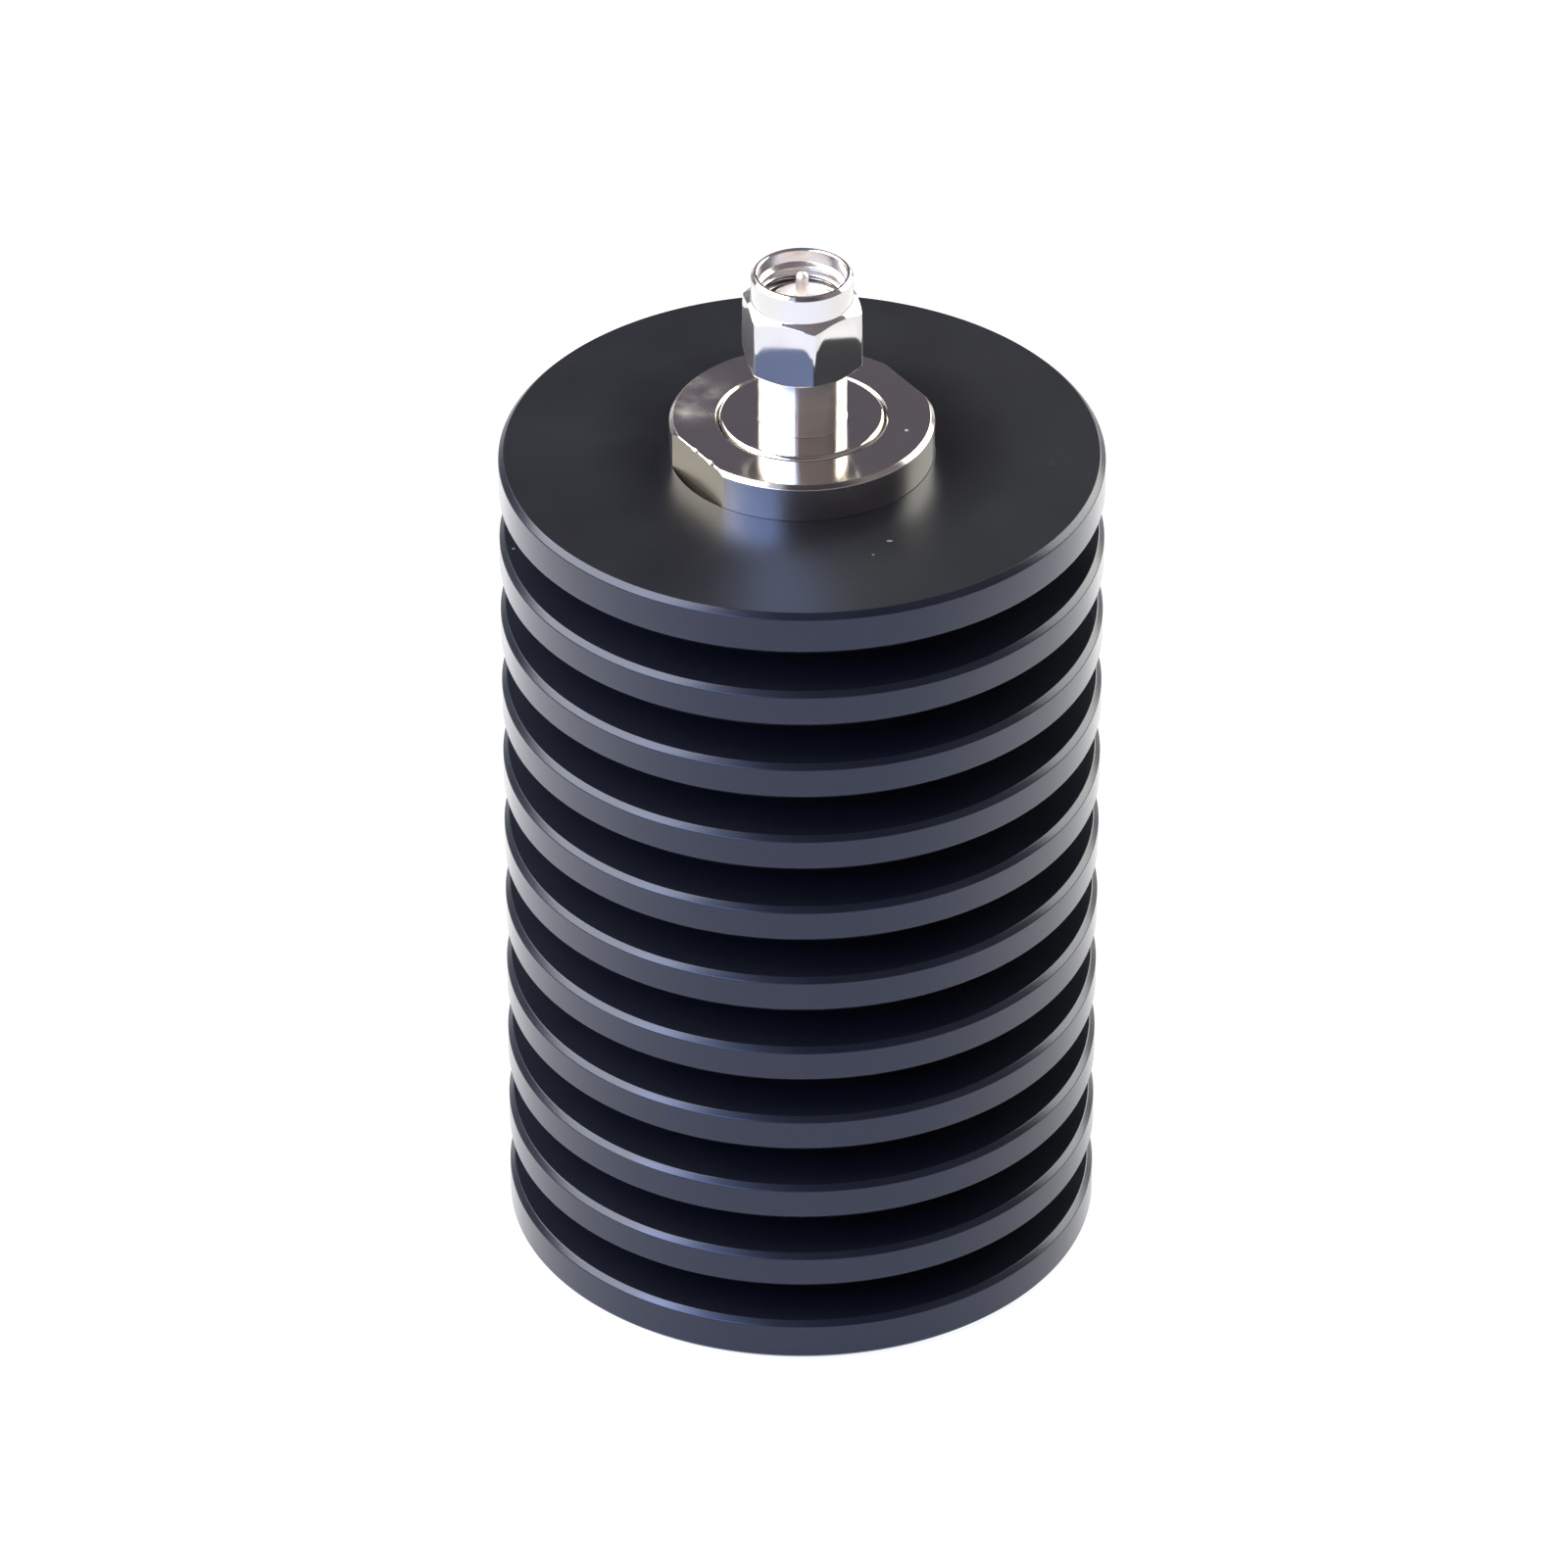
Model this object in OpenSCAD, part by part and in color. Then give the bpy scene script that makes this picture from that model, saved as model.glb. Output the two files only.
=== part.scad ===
// RF dummy load: a turned aluminium heat sink with round fins cools a film resistor on a
// ceramic chip, and a coaxial plug with a loose coupling nut feeds the power in.
// All sizes are in millimetres. Z is the axis, the origin is the centre of the base,
// and -Y is the front.

/* [Heat sink] */
// Outer diameter of the fins
fin_d = 44; // [38:0.5:70]
// Diameter of the solid core between the fins
core_d = 26; // [24:0.5:34]
// Number of fins
fin_count = 11; // [9:1:20]
// Thickness of the fins between the two end fins
fin_t = 3; // [2.5:0.1:5]
// Thickness of the top fin and the bottom fin
end_fin_t = 3.4; // [2.5:0.1:6]
// Clear gap between two fins
fin_gap = 3.2; // [2.5:0.1:6]
// Chamfer along every fin edge
fin_chamfer = 0.4; // [0.1:0.05:0.8]
// Radius in the corners of a groove
groove_r = 0.6; // [0.2:0.05:1.2]

/* [Clamp ring] */
// Diameter of the flange
ring_d = 19.2; // [18.5:0.1:24]
// Width across the two spanner flats
ring_flats = 18; // [17:0.1:18.4]
// Direction that the left-hand flat faces, in degrees from +X
flat_angle = 213.5; // [180:0.5:270]
// Height of the flange above the heat sink
ring_proud = 2.9; // [2:0.1:6]
// Depth of the recess that the flange sits in
ring_sunk = 1; // [0.5:0.1:2]
// Chamfer on the flange's top edge
ring_chamfer = 0.3; // [0.1:0.05:0.6]
// Thread diameter of the shank
shank_d = 16; // [15:0.1:18]
// Depth of the shank's thread
thread_depth = 0.6; // [0.4:0.05:0.8]
// Length of the shank below the flange
shank_l = 7; // [5:0.5:9]
// Width of the undercut between the thread and the flange
undercut_w = 1; // [0.6:0.1:2]

/* [Connector shell] */
// Diameter of the hub that fills the clamp ring
hub_d = 12; // [10.5:0.1:13]
// Height of the hub above the clamp ring
hub_proud = 0.15; // [0:0.05:0.6]
// Chamfer on the hub's rim, the stem's shoulder and the clamp ring's bore
edge_chamfer = 0.2; // [0.1:0.05:0.4]
// Thickness of the collar that the clamp ring presses on
collar_t = 2; // [1:0.1:4]
// Diameter of the stem below the nut
stem_d = 6.5; // [6.1:0.1:7.5]
// Length of the stem above the clamp ring
stem_l = 4.7; // [3:0.1:12]
// Radius of the fillet at the foot of the stem
stem_fillet = 0.1; // [0.05:0.05:0.6]
// Diameter of the neck that the nut turns on
neck_d = 5.7; // [5.4:0.05:5.8]
// Depth of the retaining ring's groove in the neck
neck_groove = 0.35; // [0.25:0.05:0.4]
// Diameter of the nose that enters the socket
nose_d = 4.58; // [4.44:0.02:4.7]
// Width of the step at the nose's root that centres the gasket
land_step = 0.25; // [0.2:0.05:0.3]
// Length of the nose in front of the gasket
nose_l = 2; // [1.6:0.1:2.4]
// Depth of the nose's face below the nut's rim
nose_depth = 2.1; // [1.8:0.1:2.4]

/* [Coupling nut] */
// Width across the hexagon's flats
hex_af = 8; // [7.9:0.1:10]
// Height of the hexagon
hex_h = 5.2; // [4.7:0.1:9]
// Angle of the chamfer on the hexagon's ends, in degrees
hex_slope = 32; // [20:1:45]
// Direction of the front corner, in degrees from +X
corner_angle = 281.4; // [270:0.2:330]
// Outer diameter of the plain sleeve above the hexagon
sleeve_d = 7.4; // [7.2:0.1:7.8]
// Height of the sleeve
sleeve_h = 2.1; // [1.7:0.1:4]
// Chamfer on the rim's outer edge
rim_chamfer = 0.25; // [0.1:0.05:0.3]
// Chamfer on the mouth of the nut's bore and on the nose
mouth_chamfer = 0.1; // [0.05:0.01:0.14]
// Major diameter of the coupling thread
coupling_d = 6.35; // [6.25:0.05:6.45]
// Thickness of the lip that holds the nut on the neck
lip_t = 0.6; // [0.5:0.1:1]
// Thickness of the retaining ring
snap_t = 0.5; // [0.4:0.05:0.7]
// Width of the slot in the retaining ring
snap_slot = 1; // [0.6:0.1:2]
// Thickness of the gasket
gasket_t = 0.8; // [0.5:0.1:1]

/* [Centre line] */
// Diameter of the insulators
insulator_d = 4.1; // [3.6:0.05:4.16]
// Diameter of the contact inside the insulators
contact_d = 1.27; // [1.1:0.01:1.5]
// Diameter of the contact's free tip
tip_d = 0.92; // [0.9:0.01:0.94]
// Height of the tip over the nut's rim
tip_proud = 0.05; // [0:0.01:0.2]
// Distance from the axis to the flat on the contact's inner end
contact_flat = 0.2; // [0.1:0.05:0.3]

/* [Resistor] */
// Diameter of the carrier's half-round tongue
tongue_d = 12; // [10.5:0.1:13]
// Length of the tongue past the chip
tongue_tail = 6; // [2:0.5:10]
// Thickness of the carrier's round plate
plate_t = 2; // [1:0.1:4]
// Width of the ceramic chip
chip_w = 6; // [4:0.5:9]
// Length of the ceramic chip
chip_l = 9; // [7:0.5:12]
// Thickness of the ceramic chip
chip_t = 1; // [0.6:0.1:1.5]
// Distance from the carrier's plate to the chip
chip_gap = 2; // [1.4:0.1:4]
// Length of each end pad on the chip
pad_l = 1.4; // [1:0.1:2]
// Width of the tab lead
tab_w = 1; // [0.8:0.1:1.2]
// Thickness of the tab lead
tab_t = 0.15; // [0.1:0.05:0.25]
// Thickness of the ceramic cover on the film
cover_t = 0.6; // [0.4:0.1:1]
// Margin between the cover and the chip's long edges
cover_margin = 0.4; // [0.2:0.1:0.8]

/* [Clearances] */
// Radial gap of pieces that drop into a bore
slide_gap = 0.05; // [0.02:0.01:0.1]
// Radial gap of the nut's lip on the neck
run_gap = 0.08; // [0.04:0.01:0.1]
// Radial gap round the insulators, the contact and the gasket
snug_gap = 0.02; // [0.01:0.005:0.04]
// Axial play of the nut on each side of its lip
nut_play = 0.1; // [0.05:0.05:0.2]
// Radial gap between the gasket and the coupling thread
gasket_gap = 0.25; // [0.15:0.05:0.3]
// Gap under the flange once the clamp ring is tight
clamp_gap = 0.1; // [0.05:0.05:0.3]
// Radial gap round the flange in its recess
recess_gap = 0.05; // [0.05:0.05:0.5]
// Gap between the tongue's end and the drilled floor
floor_gap = 1; // [0.2:0.1:3]
// Gap at the ends of the tab lead's soldered joint
solder_gap = 0.25; // [0.1:0.05:0.4]

/* [Hidden] */

$fn = 96;
nickel = "#c9c7c6";
over = 1;             // how far a cutting shape runs past what it cuts
drill_angle = 31;     // slope of the cone that a drill leaves, in degrees
arc_steps = 8;        // straight steps in a rounded corner

fin_r = fin_d / 2;
core_r = core_d / 2;
fin_pitch = fin_t + fin_gap;
sink_h = 2 * end_fin_t + (fin_count - 2) * fin_t + (fin_count - 1) * fin_gap;

// Heights of the stack that the clamp ring holds, from the top down
ring_top = sink_h + ring_proud;
recess_z = sink_h - ring_sunk;
flange_z = recess_z + clamp_gap;
shank_end = flange_z - shank_l;
shell_end = shank_end - collar_t;
plate_end = shell_end - plate_t;
chip_top = plate_end - chip_gap;
tongue_end = chip_top - chip_l - tongue_tail;
pocket_end = tongue_end - floor_gap;

// Heights along the plug, from the clamp ring up
hub_top = ring_top + hub_proud;
stem_top = ring_top + stem_l;
nut_base = stem_top + nut_play;
lip_top = nut_base + lip_t;
snap_z = lip_top + nut_play;
neck_groove_end = snap_z + snap_t + nut_play;
hex_top = nut_base + hex_h;
nut_top = hex_top + sleeve_h;
nose_face = nut_top - nose_depth;
gasket_top = nose_face - nose_l;
shoulder_z = gasket_top - gasket_t;
tip_z = nut_top + tip_proud;

// Radii that pieces share
ring_r = ring_d / 2;
shank_r = shank_d / 2;
hub_r = hub_d / 2;
collar_r = shank_r - thread_depth - slide_gap;
neck_r = neck_d / 2;
stem_r = stem_d / 2;
nose_r = nose_d / 2;
land_r = nose_r + land_step;
coupling_r = coupling_d / 2;
sleeve_r = sleeve_d / 2;
corner_r = hex_af / 2 / cos(30);
insulator_r = insulator_d / 2;
contact_r = contact_d / 2;
tip_r = tip_d / 2;
tongue_r = tongue_d / 2;

// The chip's faces, measured back from the axis
tab_y = contact_flat;
chip_y = tab_y + tab_t;
tongue_y = chip_y + chip_t;

// A solid of revolution from a profile of [radius, height] points
module turned(profile) {
    rotate_extrude() polygon(profile);
}

// Points on an arc round [x, z], from one angle to another
function arc(x, z, r, from, to) = [
    for (i = [0 : arc_steps])
        let (a = from + (to - from) * i / arc_steps)
        [x + r * cos(a), z + r * sin(a)]
];

// Section of one groove: a slot with round inner corners and a mouth that flares by the chamfer
module groove_section() {
    translate([core_r + groove_r, 0])
        square([fin_r - core_r, fin_gap]);
    translate([core_r, groove_r])
        square([2 * groove_r, fin_gap - 2 * groove_r]);
    for (z = [groove_r, fin_gap - groove_r])
        translate([core_r + groove_r, z])
            circle(groove_r);
    polygon([
        [fin_r - fin_chamfer, 0],
        [fin_r + over, -fin_chamfer - over],
        [fin_r + over, fin_gap + fin_chamfer + over],
        [fin_r - fin_chamfer, fin_gap]
    ]);
}

// Section of the stepped hole: recess, tapped bore, seat and the drilled pocket for the tongue
module bore_section() {
    recess_r = ring_r + recess_gap;
    pocket_r = tongue_r + slide_gap;
    polygon([
        [0, sink_h + over],
        [recess_r, sink_h + over],
        [recess_r, recess_z],
        [shank_r + slide_gap, recess_z],
        [shank_r + slide_gap, plate_end],
        [pocket_r, plate_end],
        [pocket_r, pocket_end],
        [0, pocket_end - pocket_r * tan(drill_angle)]
    ]);
}

module heat_sink() {
    color("#2a2b31")
    rotate_extrude()
    difference() {
        polygon([
            [0, 0],
            [fin_r - fin_chamfer, 0],
            [fin_r, fin_chamfer],
            [fin_r, sink_h - fin_chamfer],
            [fin_r - fin_chamfer, sink_h],
            [0, sink_h]
        ]);
        for (i = [1 : fin_count - 1])
            translate([0, end_fin_t + (i - 1) * fin_pitch])
                groove_section();
        bore_section();
    }
}

module clamp_ring() {
    bore_r = hub_r + slide_gap;
    root_r = shank_r - thread_depth;
    color(nickel)
    difference() {
        turned([
            [bore_r, shank_end],
            [root_r, shank_end],
            [shank_r, shank_end + thread_depth],
            [shank_r, flange_z - undercut_w - thread_depth],
            [root_r, flange_z - undercut_w],
            [root_r, flange_z],
            [ring_r, flange_z],
            [ring_r, ring_top - ring_chamfer],
            [ring_r - ring_chamfer, ring_top],
            [bore_r + edge_chamfer, ring_top],
            [bore_r, ring_top - edge_chamfer]
        ]);
        for (side = [0, 180])
            rotate(flat_angle + side)
                translate([ring_flats / 2, -ring_r, flange_z - undercut_w / 2])
                    cube([ring_r, ring_d, ring_top]);
    }
}

module connector_shell() {
    color(nickel)
    turned(concat(
        [
            [insulator_r, shell_end],
            [collar_r, shell_end],
            [collar_r, shank_end],
            [hub_r, shank_end],
            [hub_r, hub_top - edge_chamfer],
            [hub_r - edge_chamfer, hub_top]
        ],
        arc(stem_r + stem_fillet, hub_top + stem_fillet, stem_fillet, 270, 180),
        [
            [stem_r, stem_top - edge_chamfer],
            [stem_r - edge_chamfer, stem_top],
            [neck_r, stem_top],
            [neck_r, snap_z],
            [neck_r - neck_groove, snap_z],
            [neck_r - neck_groove, neck_groove_end],
            [neck_r, neck_groove_end],
            [neck_r, shoulder_z],
            [land_r, shoulder_z],
            [land_r, gasket_top],
            [nose_r, gasket_top],
            [nose_r, nose_face - mouth_chamfer],
            [nose_r - mouth_chamfer, nose_face],
            [insulator_r, nose_face]
        ]
    ));
}

// A hexagonal bar whose ends are turned back to a slope, so that curved edges form on its flats
module chamfered_hexagon() {
    slope = tan(hex_slope);
    flat_r = hex_af / 2;
    intersection() {
        rotate(corner_angle)
            translate([0, 0, nut_base])
                cylinder(r = corner_r, h = hex_h, $fn = 6);
        turned([
            [0, nut_base],
            [flat_r, nut_base],
            [corner_r + over, nut_base + (corner_r + over - flat_r) * slope],
            [corner_r + over, hex_top - (corner_r + over - sleeve_r) * slope],
            [sleeve_r, hex_top],
            [0, hex_top]
        ]);
    }
}

module coupling_nut() {
    lip_r = neck_r + run_gap;
    color(nickel)
    difference() {
        union() {
            chamfered_hexagon();
            turned([
                [0, hex_top - over],
                [sleeve_r, hex_top - over],
                [sleeve_r, nut_top - rim_chamfer],
                [sleeve_r - rim_chamfer, nut_top],
                [0, nut_top]
            ]);
        }
        turned([
            [0, nut_base - over],
            [lip_r, nut_base - over],
            [lip_r, lip_top],
            [coupling_r, lip_top],
            [coupling_r, nut_top - mouth_chamfer],
            [coupling_r + mouth_chamfer + over, nut_top + over],
            [0, nut_top + over]
        ]);
    }
}

// The split spring ring that keeps the nut on: it sits in the neck's groove, over the nut's lip
module retaining_ring() {
    inner_r = neck_r - neck_groove + slide_gap;
    outer_r = coupling_r - run_gap;
    color("#b98f4e")
    translate([0, 0, snap_z])
    difference() {
        cylinder(r = outer_r, h = snap_t);
        translate([0, 0, -over])
            cylinder(r = inner_r, h = snap_t + 2 * over);
        translate([-snap_slot / 2, 0, -over])
            cube([snap_slot, outer_r + over, snap_t + 2 * over]);
    }
}

// A plain ring between two heights
module tube(outer_r, inner_r, low, high) {
    translate([0, 0, low])
    difference() {
        cylinder(r = outer_r, h = high - low);
        translate([0, 0, -over])
            cylinder(r = inner_r, h = high - low + 2 * over);
    }
}

module gasket() {
    color("#a8402c")
        tube(coupling_r - gasket_gap, land_r + snug_gap, shoulder_z, gasket_top);
}

module front_insulator() {
    color("#f2f1ec")
        tube(insulator_r - snug_gap, contact_r + snug_gap, shell_end, nose_face);
}

module rear_insulator() {
    color("#f2f1ec")
        tube(insulator_r - snug_gap, contact_r + snug_gap, plate_end, shell_end);
}

// One pin from the rounded tip in the nut to the flat that the tab lead is soldered to
module centre_contact() {
    inner_end = chip_top + solder_gap;
    flat_end = plate_end - solder_gap;
    color("#cfcac0")
    difference() {
        turned(concat(
            [
                [0, inner_end],
                [contact_r, inner_end],
                [contact_r, nose_face],
                [tip_r, nose_face]
            ],
            arc(0, tip_z - tip_r, tip_r, 0, 90)
        ));
        translate([-contact_r - over, contact_flat, inner_end - over])
            cube([contact_d + 2 * over, contact_d, flat_end - inner_end + over]);
    }
}

// A round plate that seats in the heat sink, with a half-round tongue milled flat for the chip
module resistor_carrier() {
    color("#b8744a")
    difference() {
        union() {
            translate([0, 0, plate_end])
                cylinder(r = collar_r, h = plate_t);
            difference() {
                translate([0, 0, tongue_end])
                    cylinder(r = tongue_r, h = plate_end - tongue_end + plate_t / 2);
                translate([-tongue_d, tongue_y - 2 * tongue_d, tongue_end - over])
                    cube([2 * tongue_d, 2 * tongue_d, plate_end - tongue_end + over]);
            }
        }
        translate([0, 0, plate_end - over])
            cylinder(r = insulator_r, h = plate_t + 2 * over);
    }
}

// A block centred on X, from its nearer Y face and its upper end
module block(width, y, depth, top, length) {
    translate([-width / 2, y, top - length])
        cube([width, depth, length]);
}

module resistor_chip() {
    color("#e6e1d4")
        block(chip_w, chip_y, chip_t, chip_top, chip_l);
}

module film_cover() {
    color("#dcd8cc")
        block(chip_w - 2 * cover_margin, chip_y - cover_t, cover_t, chip_top - pad_l - cover_margin,
            chip_l - 2 * (pad_l + cover_margin));
}

module tab_lead() {
    tab_top = plate_end - 2 * solder_gap;
    color("#d8d4cb")
        block(tab_w, tab_y, tab_t, tab_top, tab_top - chip_top + pad_l);
}

heat_sink();
clamp_ring();
connector_shell();
coupling_nut();
retaining_ring();
gasket();
front_insulator();
rear_insulator();
centre_contact();
resistor_carrier();
resistor_chip();
film_cover();
tab_lead();
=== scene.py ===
# %% [markdown]
# # A finned dummy load with a coaxial plug
# This lesson dresses an exact CAD model for a studio picture. The real object is a black
# anodised heat sink, turned from one bar, with a nickel-plated plug screwed into its top. The
# load soaks up radio power in a resistor inside and gives it off as heat.
#
# The CAD model is the fixed frame: it says where everything is. Its meshes are made of plain
# triangles, which show as facets in polished metal, so the pieces that can be seen are made
# again here as fine surfaces on the same sizes.

import bmesh
import bpy
import numpy as np
from mathutils import Matrix, Vector


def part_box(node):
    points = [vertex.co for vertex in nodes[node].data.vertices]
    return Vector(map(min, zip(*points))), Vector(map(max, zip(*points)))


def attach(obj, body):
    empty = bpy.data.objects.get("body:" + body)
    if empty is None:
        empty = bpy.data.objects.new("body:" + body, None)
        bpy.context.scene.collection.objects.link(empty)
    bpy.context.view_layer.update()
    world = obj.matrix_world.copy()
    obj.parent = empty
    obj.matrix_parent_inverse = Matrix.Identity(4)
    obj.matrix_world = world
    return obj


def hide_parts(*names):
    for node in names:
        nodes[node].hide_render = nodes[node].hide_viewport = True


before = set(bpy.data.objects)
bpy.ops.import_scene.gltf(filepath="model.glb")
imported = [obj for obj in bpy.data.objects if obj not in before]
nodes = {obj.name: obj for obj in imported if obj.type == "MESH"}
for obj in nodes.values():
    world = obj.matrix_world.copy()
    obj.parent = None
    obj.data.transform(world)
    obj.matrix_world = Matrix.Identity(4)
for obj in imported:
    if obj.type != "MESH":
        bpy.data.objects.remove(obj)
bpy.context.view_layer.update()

# %% [markdown]
# ## Sizes
# Blender works in metres here and a turner thinks in millimetres, so every size below is in
# millimetres and is turned to metres once, when a mesh is made. The outer sizes are read from
# the frame. The smaller ones are those of the turned profile.

# %% Sizes in millimetres
MM = 0.001


def extent(node):
    """Half the width and the lowest and highest point of a CAD node, in millimetres."""
    low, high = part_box(node)
    return (high.x - low.x) / 2 / MM, low.z / MM, high.z / MM


fin_r, _, sink_top = extent("heat_sink")
_, ring_low, ring_top = extent("clamp_ring")
_, shell_low, nose_face = extent("connector_shell")
_, nut_base, nut_top = extent("coupling_nut")
gasket_r, gasket_low, gasket_top = extent("gasket")
print(f"heat sink {2 * fin_r:.1f} x {sink_top:.1f}, ring top {ring_top:.2f}, nut top {nut_top:.2f}")

# %% [markdown]
# ## Surfaces from arrays
# A lathe cuts a profile: a line of points, each with a radius and a height. Carried round the
# axis, it gives the whole skin of a turned piece. Blender's Screw modifier could do that, but
# with arrays the radius may also change with the angle, which gives spanner flats, a hexagon
# and a thread with the same few lines.
#
# No real edge is perfectly sharp. Each corner of a profile is cut back a little and bridged by a
# curve, because that narrow curve is what catches the light.

# %% Profiles
def soften(corners, cut, steps=4):
    """Rounds the corners of a profile.

    The corner P between its neighbours A and B becomes the curve
    (1-t)^2 A' + 2t(1-t) P + t^2 B', where A' and B' lie on its two sides at the distance cut
    from P, and t runs from 0 to 1. A cut is kept under half of its side.
    """
    def towards(neighbour):
        side = neighbour - corners
        length = np.linalg.norm(side, axis=-1, keepdims=True)
        return corners + side / length * np.minimum(cut, 0.45 * length)

    t = np.linspace(0, 1, steps)[:, None, None]
    start = towards(np.roll(corners, 1, axis=0))[:, None]
    end = towards(np.roll(corners, -1, axis=0))[:, None]
    curve = (1 - t) ** 2 * start + 2 * t * (1 - t) * corners[:, None] + t ** 2 * end
    return curve.reshape(-1, *corners.shape[1:])


def turns(count):
    """Evenly spaced angles of one full turn, in radians: 2 pi i / count."""
    return np.linspace(0, 2 * np.pi, count, endpoint=False)


print("four angles of a turn, in degrees:", np.degrees(turns(4)))


# %% Meshes
def skin(name, profile, angles, closed=True):
    """A mesh from a profile carried round the Z axis.

    profile holds [radius, height] for each row and angle, in millimetres. The point of row i at
    the angle a is (radius cos a, radius sin a, height). Rows run up the outside and down the
    inside, so that every face points outwards. Where closed is true the last row joins the
    first one. A row on the axis shrinks to one vertex.
    """
    radius, height = np.broadcast_arrays(profile[..., 0], profile[..., 1])
    rows = radius.shape[0]
    columns = angles.shape[0]
    points = np.empty((rows, columns, 3))
    points[..., 0] = radius * np.cos(angles)
    points[..., 1] = radius * np.sin(angles)
    points[..., 2] = height
    row = np.arange(rows if closed else rows - 1)[:, None]
    column = np.arange(columns)[None, :]
    above, beside = (row + 1) % rows, (column + 1) % columns
    here, there = row * columns, above * columns
    quads = np.stack([here + column, here + beside, there + beside, there + column], axis=-1)
    mesh = bpy.data.meshes.new(name)
    mesh.from_pydata((points * MM).reshape(-1, 3), [], quads.reshape(-1, 4))
    join_doubles(mesh)
    even_flats(mesh)
    return mesh


def join_doubles(mesh, distance=1e-8):
    """Merges the equal vertices of a pole."""
    work = bmesh.new()
    work.from_mesh(mesh)
    bmesh.ops.remove_doubles(work, verts=work.verts, dist=distance)
    bmesh.ops.dissolve_degenerate(work, edges=work.edges, dist=distance)
    work.to_mesh(mesh)
    work.free()


def even_flats(mesh):
    """Smooth shading that keeps a flat face flat.

    The normal of a vertex is the sum of its faces' normals, each times the face's area, made one
    unit long. So a wide flat keeps its own normal up to the edge and only the rounding bends.
    """
    mesh.shade_smooth()
    count = len(mesh.polygons)
    normal, area = np.empty(3 * count), np.empty(count)
    corners, owner = np.empty(count, dtype=int), np.empty(len(mesh.loops), dtype=int)
    mesh.polygons.foreach_get("normal", normal)
    mesh.polygons.foreach_get("area", area)
    mesh.polygons.foreach_get("loop_total", corners)
    mesh.loops.foreach_get("vertex_index", owner)
    pull = normal.reshape(-1, 3) * (area / area.max())[:, None]
    total = np.zeros((len(mesh.vertices), 3))
    np.add.at(total, owner, np.repeat(pull, corners, axis=0))
    mesh.normals_split_custom_set_from_vertices(total / np.linalg.norm(total, axis=1, keepdims=True))


# %% Pieces
def finished_piece(mesh, material, body, slot, *stands_for):
    """Puts a mesh into the scene with its finish and says which body carries it."""
    piece = bpy.data.objects.new(mesh.name, mesh)
    bpy.context.scene.collection.objects.link(piece)
    mesh.materials.append(material)
    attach(piece, body)
    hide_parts(*stands_for)
    print(f"{mesh.name}: {len(mesh.vertices)} vertices, {len(mesh.polygons)} faces")


# %% [markdown]
# ## One function for all nodes
# A material is a small network. One function adds any node, sets its properties and links or
# fills its inputs, so each material below reads as a list of what it is made of. Colours are
# written as the hex values that a colour picker shows and are made linear in one place.

# %% Helpers for materials
def linear(hex_colour):
    """An sRGB hex colour as linear red, green, blue and alpha."""
    srgb = np.array([int(hex_colour[i:i + 2], 16) for i in (1, 3, 5)]) / 255
    low, high = srgb / 12.92, ((srgb + 0.055) / 1.055) ** 2.4
    return (*np.where(srgb <= 0.04045, low, high), 1.0)


def add(tree, kind, inputs=None, **properties):
    """Adds one node. Each input, by name or number, gets a link from a socket or a plain value."""
    node = tree.nodes.new("ShaderNode" + kind)
    for name, value in properties.items():
        setattr(node, name, value)
    for key, value in (inputs or {}).items():
        if isinstance(value, bpy.types.NodeSocket):
            tree.links.new(value, node.inputs[key])
        else:
            node.inputs[key].default_value = value
    return node


def start_material(name):
    """A material with its Principled shader and the piece's own Object coordinates."""
    material = bpy.data.materials.new(name)
    material.use_nodes = True
    tree = material.node_tree
    place = add(tree, "TexCoord").outputs["Object"]
    return material, tree, tree.nodes["Principled BSDF"], place


def per_metre(size_mm):
    """The scale that makes one feature of a pattern about this many millimetres wide."""
    return 1 / (size_mm * MM)


FACTOR, A_NUMBER, B_NUMBER = 0, 2, 3              # the inputs of a Mix node for numbers
A_COLOUR, B_COLOUR, MIXED = 6, 7, 2               # and for colours, with their output
print("mid grey in linear light:", round(linear("#808080")[0], 3))

# %% [markdown]
# ## Masks
# Some surfaces of a piece are duller than the rest, such as a milled flat, a thread or the place
# where a hand has been. Painted weights could say where, but a formula on the position is exact and
# needs no brush. A mask is one on those surfaces and zero elsewhere.

# %% Helpers for masks
def past_flat(tree, place, angle, distance_mm):
    """One on two opposite flats: where |position . normal| is beyond the given distance."""
    normal = (np.cos(angle), np.sin(angle), 0)
    along = add(tree, "VectorMath", {0: place, 1: normal}, operation="DOT_PRODUCT")
    depth = add(tree, "Math", {0: along.outputs["Value"]}, operation="ABSOLUTE")
    beyond = add(tree, "Math", {0: depth.outputs[0], 1: distance_mm * MM}, operation="GREATER_THAN")
    return beyond.outputs[0]


def near(tree, place, point_mm, core_mm, edge_mm):
    """One within the core's distance of a point, fading to zero at the edge's distance."""
    point = tuple(np.array(point_mm) * MM)
    away = add(tree, "VectorMath", {0: place, 1: point}, operation="DISTANCE")
    fading = add(
        tree, "MapRange",
        {
            "Value": away.outputs["Value"], "From Min": core_mm * MM, "From Max": edge_mm * MM,
            "To Min": 1.0, "To Max": 0.0,
        },
        interpolation_type="SMOOTHSTEP",
    )
    return fading.outputs["Result"]


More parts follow.
